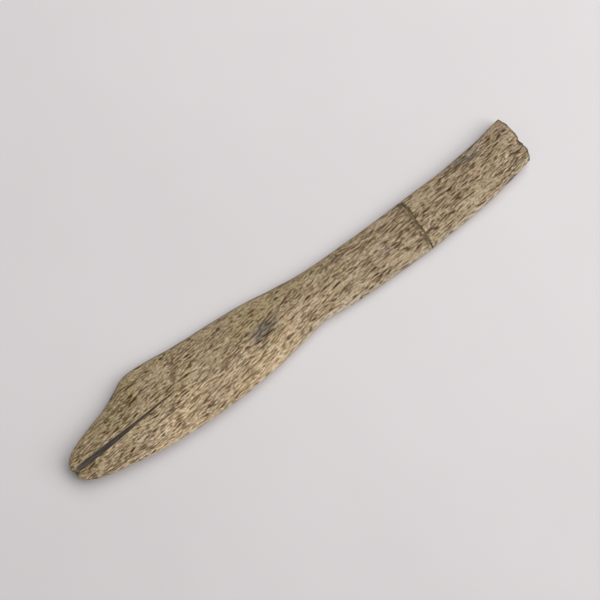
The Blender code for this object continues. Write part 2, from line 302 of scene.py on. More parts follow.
# ---------------------------------------------------------------- pores, cracks and stains
# The darkest pores and cracks of the top: (x, y, length, width, extra turn in degrees, darkness)
MARKED_PORES = (
    (18.4, 6.0, 2.8, 0.6, 4, 0.9), (18.9, 5.0, 4.0, 0.55, 2, 0.9), (29.4, 7.5, 2.9, 0.75, 4, 0.9),
    (33.5, 9.8, 4.6, 0.45, 2, 0.9), (27.0, 5.6, 3.2, 0.4, 2, 0.6), (25.3, 5.9, 1.3, 0.7, 0, 0.7),
    (35.9, 3.4, 3.6, 0.6, 6, 0.8), (38.0, 5.6, 3.0, 0.5, 3, 0.8), (39.6, 6.1, 3.2, 0.4, 3, 0.7),
    (16.8, -6.5, 2.4, 0.5, 2, 0.9), (20.8, -7.0, 2.9, 0.45, 3, 0.9), (30.4, -6.1, 2.9, 0.55, 0, 0.95),
    (39.7, -2.6, 2.9, 0.45, 4, 0.9), (38.8, -6.6, 2.6, 0.5, 0, 0.8), (41.9, -0.9, 1.2, 0.8, 0, 0.9),
    (31.3, -9.8, 3.2, 0.45, 4, 0.8), (25.0, -9.6, 2.6, 0.45, 6, 0.7), (5.4, -5.1, 1.8, 0.4, 4, 0.9),
    (50.0, -7.0, 4.4, 0.5, 1, 0.95), (45.2, -7.9, 6.0, 0.4, 4, 0.8), (48.0, 2.8, 2.9, 0.6, 3, 0.9),
    (53.0, 5.6, 5.6, 0.5, 4, 0.9), (50.3, 4.7, 3.2, 0.6, 8, 0.85), (59.5, 5.7, 3.4, 0.5, -2, 0.85),
    (62.8, 1.8, 2.9, 0.55, 0, 0.95), (58.9, 1.7, 1.1, 0.7, 0, 0.9), (52.0, -1.8, 3.6, 0.5, 0, 0.7),
    (64.5, -7.4, 4.2, 0.45, -2, 0.9), (65.8, -3.2, 1.1, 0.6, 0, 0.7), (69.4, -4.5, 1.6, 0.6, -6, 0.8),
    (71.3, 2.4, 2.4, 0.5, -4, 0.95), (80.0, -10.6, 4.6, 0.45, -6, 0.8), (85.9, 6.8, 1.6, 0.9, -4, 0.9),
    (84.0, 0.8, 2.6, 0.55, -6, 0.9), (90.0, 8.0, 1.4, 0.6, -8, 0.8), (101.6, 0.6, 4.2, 0.55, 0, 0.9),
    (104.4, -0.6, 3.4, 0.9, -2, 0.95), (106.9, -6.9, 2.0, 0.7, -4, 0.9), (102.6, -7.2, 2.1, 0.6, 6, 0.95),
    (106.5, -5.0, 3.0, 0.45, 8, 0.9), (112.4, 0.4, 2.2, 0.5, 4, 0.9), (115.6, 5.3, 5.0, 0.6, -8, 0.8),
    (116.9, -3.1, 3.0, 0.6, 12, 0.95), (116.2, -5.1, 3.2, 0.5, 4, 0.85), (121.2, -6.4, 3.4, 0.5, 14, 0.85),
    (129.4, 3.8, 3.6, 0.7, 4, 0.8), (126.4, 6.5, 3.6, 0.6, 2, 0.8), (127.6, -1.4, 3.2, 0.9, 2, 0.85),
    (132.6, -5.6, 5.4, 0.55, 10, 0.95), (134.4, -4.1, 2.2, 0.5, -6, 0.9), (146.0, 7.2, 5.4, 0.4, 6, 0.85),
    (140.8, 2.8, 4.6, 0.45, 0, 0.9), (140.4, 9.0, 2.0, 0.5, 0, 0.8), (148.7, 5.8, 4.2, 0.45, 0, 0.9),
    (141.6, 4.8, 1.6, 0.8, -6, 0.9), (137.5, -3.4, 3.0, 0.8, -4, 0.7), (154.6, -1.1, 2.4, 0.5, -4, 0.9),
    (155.9, 5.5, 3.8, 0.4, 4, 0.7), (161.8, 6.1, 3.6, 0.5, 6, 0.8), (168.8, 6.4, 4.8, 0.45, 2, 0.9),
    (159.6, -4.4, 3.2, 0.5, 6, 0.9), (157.6, -5.0, 1.9, 0.7, -2, 0.9), (162.2, -3.6, 4.2, 0.4, 4, 0.8),
    (162.0, -1.6, 3.2, 0.4, 4, 0.8), (176.2, 1.3, 2.0, 0.7, -4, 0.9), (171.0, -1.3, 5.0, 0.5, 0, 0.9),
    (168.0, -1.1, 2.4, 0.5, 2, 0.85), (170.4, -4.4, 2.6, 0.9, 0, 1.0), (151.3, 4.2, 2.6, 0.9, -6, 1.0),
    (148.6, -2.5, 1.7, 0.75, 4, 1.0),
    (94.4, 1.3, 2.7, 0.9, 0, 0.95), (92.7, -5.8, 2.6, 0.65, -6, 0.9), (35.2, -7.9, 0.85, 0.85, 0, 1.0),
    (107.6, 6.45, 8.4, 0.6, -11, 1.0), (103.8, 6.5, 2.6, 0.5, -8, 0.7), (90.8, 6.0, 5.4, 0.35, -8, 0.7),
    (87.3, 4.8, 4.6, 0.5, 9, 1.0), (73.4, -1.6, 3.8, 0.7, -14, 0.95), (77.8, -0.95, 5.8, 0.7, -10, 0.95),
    (72.0, 2.4, 3.0, 0.5, -4, 0.8),
)

# Stains of the top: (kind, x, y, half length, half width, turn in degrees, strength)
STAINS = (
    ("blue", 76.9, 0.8, 5.8, 2.4, 10, 0.95), ("blue", 79.1, 1.8, 2.3, 1.1, -12, 1.0),
    ("blue", 74.2, -0.2, 2.4, 1.1, 4, 0.75),
    ("purple", 107.7, 6.3, 4.6, 0.8, 0, 0.8), ("purple", 106.2, 6.5, 2.4, 0.5, 0, 1.0),
    ("rust", 106.9, 4.8, 1.3, 0.8, 10, 0.9), ("rust", 114.0, 7.1, 1.6, 0.7, 0, 0.9),
    ("rust", 88.0, 4.9, 2.4, 0.35, 20, 1.0), ("purple", 87.0, 4.5, 2.6, 0.28, 21, 1.0),
    ("purple", 88.6, 6.7, 1.2, 0.6, 10, 0.5), ("rust", 98.0, -4.9, 1.8, 0.7, 0, 0.45),
    ("blue", 162.1, 9.0, 6.0, 1.3, 6, 0.65), ("purple", 163.4, 8.5, 4.0, 0.6, 3, 1.0),
    ("blue", 158.8, 9.7, 1.3, 1.1, 0, 0.75), ("blue", 166.6, 11.7, 5.0, 0.5, 8, 1.0),
    ("purple", 175.4, 10.6, 2.0, 0.6, 16, 0.9), ("rust", 177.3, 11.6, 0.7, 0.45, 0, 0.9),
    ("rust", 177.6, 5.3, 0.8, 0.6, 0, 1.0), ("olive", 178.6, 6.1, 1.5, 1.9, 0, 0.8),
    ("rust", 150.0, 8.4, 1.8, 0.8, 60, 0.5), ("rust", 144.2, 8.2, 1.2, 0.8, 0, 0.45),
    ("purple", 169.6, -4.2, 2.6, 0.5, 12, 1.0), ("purple", 125.2, -0.9, 4.2, 1.0, -4, 0.6),
    ("grey", 124.6, -0.2, 1.4, 0.45, 0, 0.9), ("rust", 32.6, -2.0, 1.4, 1.2, 0, 0.35),
    ("olive", 20.4, -10.8, 1.0, 0.8, 40, 0.8), ("rust", 33.4, -11.6, 2.0, 0.6, 30, 0.4),
    ("rust", 70.9, 8.6, 2.2, 1.0, 0, 0.35), ("purple", 46.0, 4.9, 3.6, 1.2, 10, 0.35),
    ("purple", 26.0, 4.6, 2.2, 1.0, 0, 0.35), ("blue", 30.5, -5.6, 2.4, 0.9, 6, 0.35),
    ("blue", 50.3, 0.2, 4.0, 1.6, 6, 0.3), ("purple", 132.8, -6.0, 3.2, 0.9, 12, 0.5),
    ("purple", 140.0, -3.4, 3.4, 1.0, 4, 0.5), ("purple", 174.0, -1.2, 4.0, 1.0, 4, 0.5),
    ("rust", 131.0, 6.6, 3.0, 1.0, 0, 0.35), ("rust", 121.9, 4.2, 2.2, 1.2, 0, 0.4),
    ("olive", 118.6, 7.2, 3.2, 1.0, 0, 0.4), ("rust", 171.2, 10.8, 2.0, 1.0, 30, 0.45),
    ("olive", 66.0, -8.2, 4.0, 2.0, 0, 0.3), ("rust", 82.0, -4.8, 4.0, 1.6, 0, 0.25),
    ("grey", 169.0, -4.4, 3.4, 1.2, 12, 0.8),
)
STAIN_KINDS = ("blue", "purple", "rust", "olive", "grey")
RANDOM_PORES = {"blade": 3500, "butt": 875}
PORE_ROOM = (0.9, 0.38, 0.38)  # no two random pores lie closer than this, along and across the fibres
MARKED_WIDTH = 0.85  # share of a marked pore's width, as its soft edge reaches beyond it
DEEPEST_PIT = 0.2


def rotated(dx, dy, degrees):
    c, s = math.cos(math.radians(degrees)), math.sin(math.radians(degrees))
    return dx * c + dy * s, dy * c - dx * s


class PoreField:
    """Spindle-shaped pores strewn over a grid. Each one runs with the fibres."""

    def __init__(self, grid, normals):
        self.space = grain_space(grid)
        self.dark = np.zeros(grid.shape[:2])
        self.deep = np.zeros(grid.shape[:2])
        self.row_x = grid[:, :, 0].mean(axis=1)
        self.up = normals[..., 2] > 0

    def add(self, centre, length, width, turn, dark, only_top=False):
        margin = length * 0.62 + 0.6
        first, last = np.searchsorted(self.row_x, (centre[0] - margin, centre[0] + margin))
        near = self.space[first:last]
        if len(near) == 0:
            return
        dx = near[..., 0] - centre[0]
        dy = near[..., 1] - centre[1] - dx * math.tan(math.radians(turn))
        across = np.hypot(dy, (near[..., 2] - centre[2]) * (0.35 if only_top else 1.0))
        reach = np.abs(dx) / (length / 2)
        shape = 1 - reach**2 - (across / (width / 2)) ** 1.7
        mask = np.clip(shape * 5.0 + 0.6, 0, 1) * dark
        pit = np.clip(shape + 0.2, 0, 1) * min(width * 0.35, DEEPEST_PIT) * dark
        if only_top:
            mask = np.where(self.up[first:last], mask, 0)
            pit = np.where(self.up[first:last], pit, 0)
        self.dark[first:last] = np.maximum(self.dark[first:last], mask)
        self.deep[first:last] = np.maximum(self.deep[first:last], pit)


def grid_areas(grid):
    long_way = np.gradient(grid, axis=0)
    round_way = (np.roll(grid, -1, axis=1) - np.roll(grid, 1, axis=1)) / 2
    return np.linalg.norm(np.cross(long_way, round_way), axis=-1)


def pore_places(space, areas, count, rng):
    """Random places on the surface, in grain space: thick in some regions, and never too close."""
    picks = rng.choice(areas.size, size=count * 3, p=(areas / areas.sum()).ravel())
    points = space.reshape(-1, 3)[picks] + rng.normal(size=(len(picks), 3)) * (0.1, 0.05, 0.0)
    crowd = layers(points * (0.06, 0.22, 0.22), 2, 5)
    chance = rng.random(len(picks))
    held = np.zeros((0, 3))
    for point, crowding, lucky in zip(points, crowd, chance):
        if len(held) >= count:
            break
        away = (held - point) / PORE_ROOM
        too_close = (np.einsum("ij,ij->i", away, away) < 1).any()
        if lucky <= 0.62 + 0.75 * crowding and not too_close:
            held = np.vstack((held, point))
    return held


def strew_pores(grid, normals, depth, count, rng):
    """The random pores, none of them in the slit, and the marked ones."""
    field = PoreField(grid, normals)
    for place in pore_places(field.space, grid_areas(grid) * (depth < 0.05), count, rng):
        length = 1.1 + 2.9 * rng.random() ** 2 + rng.random() * 0.6
        width = 0.27 + 0.13 * rng.random() ** 1.5 + 0.20 * rng.random() ** 7
        dark = 0.3 + 0.7 * rng.random() ** 0.7
        field.add(place, length, width, rng.normal() * 5, dark)
    for x, y, length, width, turn, dark in MARKED_PORES:
        centre = grain_space(np.array([x, y, crown_z(x) - 0.3]))
        field.add(centre, length, width * MARKED_WIDTH, turn, dark, only_top=True)
    return field


def stain_masks(grid, normals):
    """One soft mask for each kind of stain, with a wandering edge. Stains lie on the top only."""
    masks = {kind: np.zeros(grid.shape[:2]) for kind in STAIN_KINDS}
    wander = layers(grain_space(grid) * (0.35, 1.1, 1.1), 3, 21) * 0.4
    top = smooth(-0.1, 0.2, normals[..., 2])
    for kind, x, y, half_long, half_wide, turn, strength in STAINS:
        along, across = rotated(grid[..., 0] - x, grid[..., 1] - y, turn)
        away = np.hypot(along / half_long, across / half_wide) + wander
        mask = smooth(1.25, 0.35, away) * strength * top
        masks[kind] = np.maximum(masks[kind], mask)
    return masks


# ---------------------------------------------------------------- building the meshes
def mesh_object(name, points, faces, attributes):
    """An object from points in the tool's own millimetres, shifted into the frame."""
    mesh = bpy.data.meshes.new(name)
    mesh.from_pydata(((points + SHIFT) * MM).tolist(), [], faces)
    for key, values in attributes.items():
        if values.ndim == 1:
            mesh.attributes.new(key, "FLOAT", "POINT").data.foreach_set("value", values.astype(np.float32))
        else:
            mesh.attributes.new(key, "FLOAT_VECTOR", "POINT").data.foreach_set(
                "vector", values.astype(np.float32).ravel()
            )
    mesh.validate()
    mesh.shade_smooth()
    made = bpy.data.objects.new(name, mesh)
    bpy.context.scene.collection.objects.link(made)
    return made


def grid_faces(rows, columns):
    faces = []
    for i in range(rows - 1):
        a, b = i * columns, (i + 1) * columns
        for j in range(columns):
            k = (j + 1) % columns
            faces.append((a + j, a + k, b + k, b + j))
    return faces


def cap(ring, rings, rough, seed):
    """Points that close a ring with a broken face: shrinking copies of it, and a middle. The face is
    uneven by about rough, towards +x, or towards -x where rough is negative."""
    centre = ring.mean(axis=0)
    shares = (1 - np.arange(1, rings) / rings)[:, None, None]
    flat = (centre + (ring - centre)[None] * shares).reshape(-1, 3)
    chips = np.maximum(noise(flat * (0.2, 1.6, 3.2), seed + 9), 0) * 0.8
    rise = (layers(flat * (0.3, 0.9, 1.4), 4, seed) + chips) * rough
    flat[:, 0] += rise * np.repeat(np.minimum((1 - shares.ravel()) * 5, 1.0), len(ring))
    return np.vstack((flat, centre[None]))


def cap_faces(columns, rings, ring_start, cap_start, flip):
    """Faces between the ring and its cap's points. They are flipped where the cap closes a start."""
    faces = []
    starts = [ring_start] + [cap_start + k * columns for k in range(rings - 1)]
    middle = cap_start + (rings - 1) * columns
    for a, b in zip(starts, starts[1:]):
        for j in range(columns):
            k = (j + 1) % columns
            faces.append((a + j, b + j, b + k, a + k) if flip else (a + k, b + k, b + j, a + j))
    a = starts[-1]
    for j in range(columns):
        k = (j + 1) % columns
        faces.append((a + j, middle, a + k) if flip else (a + k, middle, a + j))
    return faces


def relief(grid, normals, field, depth):
    """The surface moved along its normals by whittled faces, fibres and the pits of the pores.
    Nothing goes below the underside."""
    space = grain_space(grid)
    low = noise(space * (0.05, 0.16, 0.16), 31) * 0.22 + noise(space * (0.11, 0.3, 0.3), 32) * 0.10
    fibre = noise(space * (0.16, 2.3, 2.3), 33) * 0.030 + noise(space * (0.4, 1.1, 1.1), 34) * 0.02
    fine = noise(space * (0.8, 4.2, 4.2), 35) * 0.012
    outside = 1 - smooth(0.05, 0.4, depth)
    near_tip = smooth(0.0, 3.0, grid[..., 0])
    top = smooth(-0.5, 0.3, normals[..., 2])
    lift = low * near_tip * outside * (0.35 + 0.65 * top) + (fibre + fine) * (0.4 + 0.6 * near_tip)
    lift -= field.deep * smooth(0.2, 2.5, grid[..., 0]) * outside
    moved = grid + normals * lift[..., None]
    moved[..., 2] = np.maximum(moved[..., 2], 0.0)
    return moved


def pale_edge_and_highlight(grid, normals):
    """Pale, polished bone along the lower arris, with painted highlight laid on it where that edge turns away
    from the light: a bright line round the waist, fainter elsewhere.
    """
    x = grid[..., 0]
    steep = smooth(0.93, 0.7, normals[..., 2]) * smooth(-0.6, 0.0, normals[..., 2])
    lower = smooth(-0.05, -0.35, normals[..., 1])
    waist = smooth(76, 86, x) * (1 - smooth(104, 112, x))
    worn_and_lit = 0.12 + 0.5 * smooth(6, 30, x) + 0.35 * waist
    return steep * lower * worn_and_lit * (0.85 + 0.3 * noise(grid * (0.3, 1, 1), 44))


def painted_edge_shade(grid, normals):
    """Painted shade: a thin dark line along the upper edge, where the side turns away from the light, fainter
    along the shaft; and a thin dark line round the tip.
    """
    steep = smooth(0.72, 0.35, normals[..., 2]) * smooth(-0.5, -0.1, normals[..., 2])
    upper = smooth(0.0, 0.3, normals[..., 1])
    upper = upper * (1 - 0.7 * smooth(88, 96, grid[..., 0]) * (1 - smooth(150, 160, grid[..., 0])))
    tip = smooth(5.0, 1.2, grid[..., 0]) * smooth(0.6, 0.1, normals[..., 2])
    tip = tip * smooth(-0.7, -0.2, normals[..., 2])
    return np.maximum(steep * upper, tip * 0.9) * (0.8 + 0.4 * noise(grid * (0.2, 0.6, 0.6), 45))


def pale_and_lit_side(grid):
    """How bleached the bone is, together with painted light that lightens the lower side: olive along the upper
    side, pale and pinkish towards the lower edge.
    """
    up, low = upper_edge(grid[..., 0]), lower_edge(grid[..., 0])
    share = (up - grid[..., 1]) / np.maximum(up - low, 0.5)
    drift = layers(grain_space(grid) * (0.05, 0.16, 0.16), 3, 51) * 0.22
    start = 0.285 + 0.10 * smooth(20, 0, grid[..., 0])
    return smooth(start, start + 0.75, share + drift) * (0.35 + 0.65 * smooth(4, 40, grid[..., 0]))


def half_gap(y):
    """Half the width of the glue line at y."""
    upper, lower = BREAK_HALF_GAP
    return lower + (upper - lower) * smooth(-5, 3, y)


def seam_dirt(grid):
    """Glue smeared on the bone beside the break, most of it on the blade's side of the upper half,
    with a faint second line beside the lower half."""
    y = grid[..., 1]
    off = grid[..., 0] - break_x(y)
    reach = 0.9 + 0.8 * smooth(-4, 4, y)
    patchy = 0.72 + 1.1 * layers(grid * (0.7, 0.45, 0.45), 3, 61)
    strength = 0.6 + 0.4 * smooth(-3, 1, y)
    beside = np.exp(-(((off + 1.35) / 0.28) ** 2)) * smooth(-3, -4.2, y)
    smear = smooth(reach, reach * 0.5, np.abs(off + 0.35))
    return np.clip(smear * patchy * strength + beside * 0.5, 0, 1)


def surface_attributes(grid, normals, field, depth):
    """What the bone's material reads at each point: the grain space, and masks from 0 to 1."""
    # the lower edge's pale wear also carries painted highlight
    made = {"grain": grain_space(grid), "pore": field.dark, "wear_and_highlight": pale_edge_and_highlight(grid, normals)}
    made.update(stain_masks(grid, normals))
    # partly the bone's bleached tone, partly painted light that lightens the lower side
    made["pale_and_lit"] = pale_and_lit_side(grid)
    made["ashen"] = smooth(86, 118, grid[..., 0])
    # painted shade along the upper edge, with a dark line round the tip
    made["edge_shade_and_lines"] = np.clip(painted_edge_shade(grid, normals), 0, 1)
    made["slit"] = smooth(0.12, 0.5, depth)
    made["glue"] = seam_dirt(grid)
    made["broken"] = np.zeros(grid.shape[:2])
    return made


def flatten(attributes, extra_points, extra):
    """Grid attributes as flat lists, with the values of the extra points after them."""
    flat = {}
    for key, values in attributes.items():
        if key == "grain":
            flat[key] = np.vstack((values.reshape(-1, 3), grain_space(extra_points)))
        else:
            flat[key] = np.concatenate((values.ravel(), np.full(len(extra_points), extra.get(key, 0.0))))
    return flat


def ragged(grid, seed):
    """How far the edge of a break strays along x."""
    return layers(grid * (0.1, 1.3, 1.3), 3, seed) * RAGGED


def blade_rows():
    """x of the blade's rows."""
    steps = np.arange(1, int((BLADE_END + TIP_CROWD) * ROWS_PER_MM) + 1)
    x = np.sqrt((steps / ROWS_PER_MM) ** 2 + TIP_CROWD**2) - TIP_CROWD
    return x * (BLADE_END / x[-1])


def tip_loss(grid):
    """How far back the tip is worn, with the nick where the slit opens."""
    x, off = grid[..., 0], grid[..., 1] - NICK_Y
    nick = NICK_DEPTH * np.exp(-((off / NICK_HALF) ** 2)) * np.exp(-x / NICK_FADE)
    return nick + sum(amount * np.exp(-x / fade) for amount, fade in TIP_WEAR)


def make_blade(rng):
    grid, depth = blade_grid(blade_rows())
    grid[..., 0] += tip_loss(grid)
    target = break_x(grid[..., 1]) - half_gap(grid[..., 1])
    grid[..., 0] += (target - BLADE_END) * smooth(BLADE_END - BLADE_BEND, BLADE_END, grid[..., 0])
    grid[..., 0] += ragged(grid, 71) * smooth(BLADE_END - 1.9, BLADE_END - 0.4, grid[..., 0])
    normals = grid_normals(grid)
    field = strew_pores(grid, normals, depth, RANDOM_PORES["blade"], rng)
    shaped = relief(grid, normals, field, depth)
    attributes = surface_attributes(grid, normals, field, depth)

    # dirt in the nick, and a slit that is brown at the tip, dark behind it and paler at its narrow end
    x = grid[..., 0]
    nick_dirt = np.exp(-(((grid[..., 1] - NICK_Y) / NICK_DIRT_HALF) ** 2)) * smooth(2.9, 1.6, x)
    attributes["glue"] = np.maximum(attributes["glue"], nick_dirt)
    attributes["slit"] *= (0.25 + 0.75 * smooth(1.7, 2.7, x)) * (1 - 0.35 * smooth(14, 34, x))

    rows, columns = depth.shape
    closing = cap(shaped[-1], CAP_RINGS, 0.25, 81)
    tip = shaped[0].mean(axis=0)[None]
    points = np.vstack((shaped.reshape(-1, 3), closing, tip))
    faces = grid_faces(rows, columns)
    faces += cap_faces(columns, CAP_RINGS, (rows - 1) * columns, rows * columns, False)
    last = len(points) - 1
    faces += [(last, (j + 1) % columns, j) for j in range(columns)]
    flat = flatten(attributes, np.vstack((closing, tip)), {"glue": 0.7, "broken": 1.0})
    flat["broken"][last] = flat["glue"][last] = 0.0
    return mesh_object("bone_blade", points, faces, flat)


def end_bevel(grid):
    """How far the top dips where flakes broke off along the butt's broken end."""
    y = grid[..., 1]
    to_end = end_x(y) - grid[..., 0] + 0.25 * layers(grid * (0.2, 0.55, 0.0), 2, 75)
    wide = 1.5 + 0.9 * smooth(3.2, 4.4, y) * (1 - smooth(9, 11, y))
    return np.clip(wide - to_end, 0, 2.0) * 0.7


def butt_grid():
    """The butt's surface points, how far flakes lowered each, and how far it is from the end."""
    grid = plain_grid(np.linspace(BUTT_START, BUTT_END, BUTT_ROWS), BUTT_COLUMNS)
    x, y, z = grid[..., 0], grid[..., 1], grid[..., 2]
    at_end = smooth(BUTT_END - END_BEND, BUTT_END, x)
    at_break = 1 - smooth(BUTT_START, BUTT_START + BUTT_BEND, x)
    x += (end_x(y) - z * END_LEAN - BUTT_END) * at_end
    x += (break_x(y) + half_gap(y) - BUTT_START) * at_break
    x += ragged(grid, 72) * (1 - smooth(BUTT_START, BUTT_START + 1.8, x))
    chipped = layers(grid * (0.1, 1.1, 1.6), 3, 73) * CHIPPED
    x += chipped * smooth(BUTT_END - 3, BUTT_END, x)
    flake = end_bevel(grid)
    z -= flake * smooth(3.0, 6.0, z)
    return grid, flake, end_x(y) - z * END_LEAN - x + chipped


def make_butt(rng):
    grid, flake, to_end = butt_grid()
    normals = grid_normals(grid)
    depth = np.zeros(grid.shape[:2])
    field = strew_pores(grid, normals, depth, RANDOM_PORES["butt"], rng)
    shaped = relief(grid, normals, field, depth)
    attributes = surface_attributes(grid, normals, field, depth)

    # olive bone where flakes are gone, with a dark line round them, and a dark line along the end: dark broken
    # bone, darkened further as painted shade for the end's shaded side
    flaked = smooth(0.05, 0.4, flake) * smooth(0.1, 0.4, normals[..., 2])
    attributes["olive"] = np.maximum(attributes["olive"], flaked * 0.7)
    flake_edge = smooth(0.5, 0.1, np.abs(flake - 0.12) * 6) * flaked
    attributes["edge_shade_and_lines"] = np.clip(attributes["edge_shade_and_lines"] + flake_edge, 0, 1)
    uneven = 0.85 + 0.6 * layers(grid * (0.0, 0.5, 0.5), 2, 76)
    attributes["broken"] = np.clip(smooth(0.95, 0.35, to_end) * uneven, 0, 1)

    count = BUTT_ROWS * BUTT_COLUMNS
    near_cap = cap(shaped[0], CAP_RINGS, -0.25, 82)
    far_cap = cap(shaped[-1], CAP_RINGS, -0.4, 83)
    points = np.vstack((shaped.reshape(-1, 3), near_cap, far_cap))
    faces = grid_faces(BUTT_ROWS, BUTT_COLUMNS)
    faces += cap_faces(BUTT_COLUMNS, CAP_RINGS, 0, count, True)
    faces += cap_faces(BUTT_COLUMNS, CAP_RINGS, count - BUTT_COLUMNS, count + len(near_cap), False)
    flat = flatten(attributes, np.vstack((near_cap, far_cap)), {"ashen": 1.0, "broken": 1.0})
    flat["glue"][count : count + len(near_cap)] = 0.7
    return mesh_object("bone_butt", points, faces, flat)


def make_glue():
    """The brown line of glue that fills the break, sunk a little below the bone."""
    across = np.linspace(-1, 1, GLUE_ROWS)[:, None]
    grid = plain_grid(np.full(GLUE_ROWS, BREAK_MIDDLE), GLUE_COLUMNS)
    own_noise = np.sign(across)[..., None] * (0, 0, 9.0)
    wide = half_gap(grid[..., 1]) + 0.10 + 0.16 * layers(grid * (0, 0.9, 0.9) + own_noise, 3, 91)
    grid[..., 0] = break_x(grid[..., 1]) + across * np.maximum(wide, 0.12)
    out = grid_normals(plain_grid(np.linspace(*SLOPE_SPAN, GLUE_ROWS), GLUE_COLUMNS))
    lift = -0.10 - 0.16 * np.abs(across) ** 3 + 0.12 * layers(grid * (0.8, 0.6, 0.6), 3, 92)
    shaped = grid + out * lift[..., None]
    count = GLUE_ROWS * GLUE_COLUMNS
    near_cap = cap(shaped[0], GLUE_CAP_RINGS, 0.0, 93)
    far_cap = cap(shaped[-1], GLUE_CAP_RINGS, 0.0, 94)
    points = np.vstack((shaped.reshape(-1, 3), near_cap, far_cap))
    faces = grid_faces(GLUE_ROWS, GLUE_COLUMNS)
    faces += cap_faces(GLUE_COLUMNS, GLUE_CAP_RINGS, 0, count, True)
    faces += cap_faces(GLUE_COLUMNS, GLUE_CAP_RINGS, count - GLUE_COLUMNS, count + len(near_cap), False)
    return mesh_object("glue_line", points, faces, {"grain": points.copy()})


# ---------------------------------------------------------------- materials
FIBRE_SPAN = (0.36, 0.64)  # the part of a noise's range that is stretched to 0 and 1
# the dark edge colour is painted shade along the upper edge, also used for the dark lines round the tip and the
# flake scars
# the worn bone colour is also a painted highlight along the lower edge
WORN_AND_LIT_BONE, DARK_EDGE_SHADE, SMEARED_GLUE = (0.84, 0.73, 0.55), (0.13, 0.10, 0.055), (0.110, 0.078, 0.036)
# stains: (attribute, share, colour)
TINTS = (
    ("olive", 0.75, (0.26, 0.215, 0.085)),
    ("rust", 0.75, (0.40, 0.215, 0.095)),
    ("blue", 0.96, (0.082, 0.100, 0.104)),
    ("grey", 0.8, (0.33, 0.28, 0.24)),
    ("purple", 0.8, (0.092, 0.058, 0.062)),
)


class Nodes:
    """A short way to wire shader nodes."""

    def __init__(self, name):
        self.material = bpy.data.materials.new(name)
        self.material.use_nodes = True
        self.tree = self.material.node_tree
        self.shader = self.tree.nodes["Principled BSDF"]

    def add(self, kind, **settings):
        node = self.tree.nodes.new(kind)
        for key, value in settings.items():
            setattr(node, key, value)
        return node

    def link(self, source, target):
        self.tree.links.new(source, target)

    def attribute(self, name, output="Fac"):
        return self.add("ShaderNodeAttribute", attribute_name=name).outputs[output]

    def stretch(self, vector, scale):
        node = self.add("ShaderNodeVectorMath", operation="MULTIPLY")
        self.link(vector, node.inputs[0])
        node.inputs[1].default_value = scale
        return node.outputs[0]

    def noise(self, vector, scale, detail=3.0, rough=0.55):
        node = self.add("ShaderNodeTexNoise")
        node.inputs["Scale"].default_value = scale
        node.inputs["Detail"].default_value = detail
        node.inputs["Roughness"].default_value = rough
        self.link(vector, node.inputs["Vector"])
        return node.outputs["Fac"]

    def cells(self, vector, scale):
        node = self.add("ShaderNodeTexVoronoi")
        node.inputs["Scale"].default_value = scale
        self.link(vector, node.inputs["Vector"])
        return node.outputs

    def pores(self, vector, scale, edge, core):
        """Dark spots round the middles of random cells, from 0 at the edge to 1 at the core."""
        cells = self.cells(vector, scale)
        spot = self.span(cells["Distance"], edge, core)
        return self.math("MULTIPLY", spot, self.span(cells["Color"], 0.15, 0.75, 0.2, 1.0))

    def span(self, value, low, high, to_low=0.0, to_high=1.0):
        node = self.add("ShaderNodeMapRange", interpolation_type="SMOOTHSTEP")
        self.link(value, node.inputs["Value"])
        for socket, number in zip(("From Min", "From Max", "To Min", "To Max"), (low, high, to_low, to_high)):
            node.inputs[socket].default_value = number
        return node.outputs["Result"]

    def math(self, operation, a, b):
        node = self.add("ShaderNodeMath", operation=operation)
        for socket, value in zip(node.inputs, (a, b)):
            if isinstance(value, (int, float)):
                socket.default_value = value
            else:
                self.link(value, socket)
        return node.outputs[0]

    def mix(self, share, a, b):
        node = self.add("ShaderNodeMix", data_type="RGBA")
        self.link(share, node.inputs[0])
        for socket, value in zip((node.inputs[6], node.inputs[7]), (a, b)):
            if isinstance(value, tuple):
                socket.default_value = (*value, 1.0)
            else:
                self.link(value, socket)
        return node.outputs[2]

    def cover(self, colour, mask, share, over):
        """The colour with another laid over it, as thickly as the mask and the share say."""
        return self.mix(self.math("MULTIPLY", mask, share), colour, over)

    def vary(self, colour, mask, low, high):
        """The colour multiplied by low where the mask is 0 and by high where it is 1."""
        return self.mix(mask, self.stretch(colour, low), self.stretch(colour, high))

    def bump(self, height, strength, distance):
        node = self.add("ShaderNodeBump")
        node.inputs["Strength"].default_value = strength
        node.inputs["Distance"].default_value = distance
        self.link(height, node.inputs["Height"])
        return node.outputs["Normal"]


def bent_grain(m, grain):
    """The grain space with its fibres wavering a little."""
    wobble = m.add("ShaderNodeTexNoise")
    wobble.inputs["Scale"].default_value = 0.9
    wobble.inputs["Detail"].default_value = 2.0
    m.link(m.stretch(grain, (0.4, 1.0, 1.0)), wobble.inputs["Vector"])
    bent = m.add("ShaderNodeVectorMath", operation="ADD")
    m.link(grain, bent.inputs[0])
    m.link(m.stretch(wobble.outputs["Color"], (0.0, 0.06, 0.06)), bent.inputs[1])
    return bent.outputs[0]


def small_pores(m, grain, bent):
    """Spindles along the fibres, each with a darkness of its own: long streaks and short flecks."""
    streaks = m.pores(m.stretch(bent, (0.15, 1.0, 1.0)), 1.6, 0.28, 0.21)
    streaks = m.math("MULTIPLY", streaks, m.span(m.noise(grain, 0.6, 2.0), 0.34, 0.54))
    flecks = m.pores(m.stretch(bent, (0.26, 1.0, 1.0)), 2.1, 0.27, 0.20)
    return m.math("MAXIMUM", streaks, m.math("MULTIPLY", flecks, 0.8))


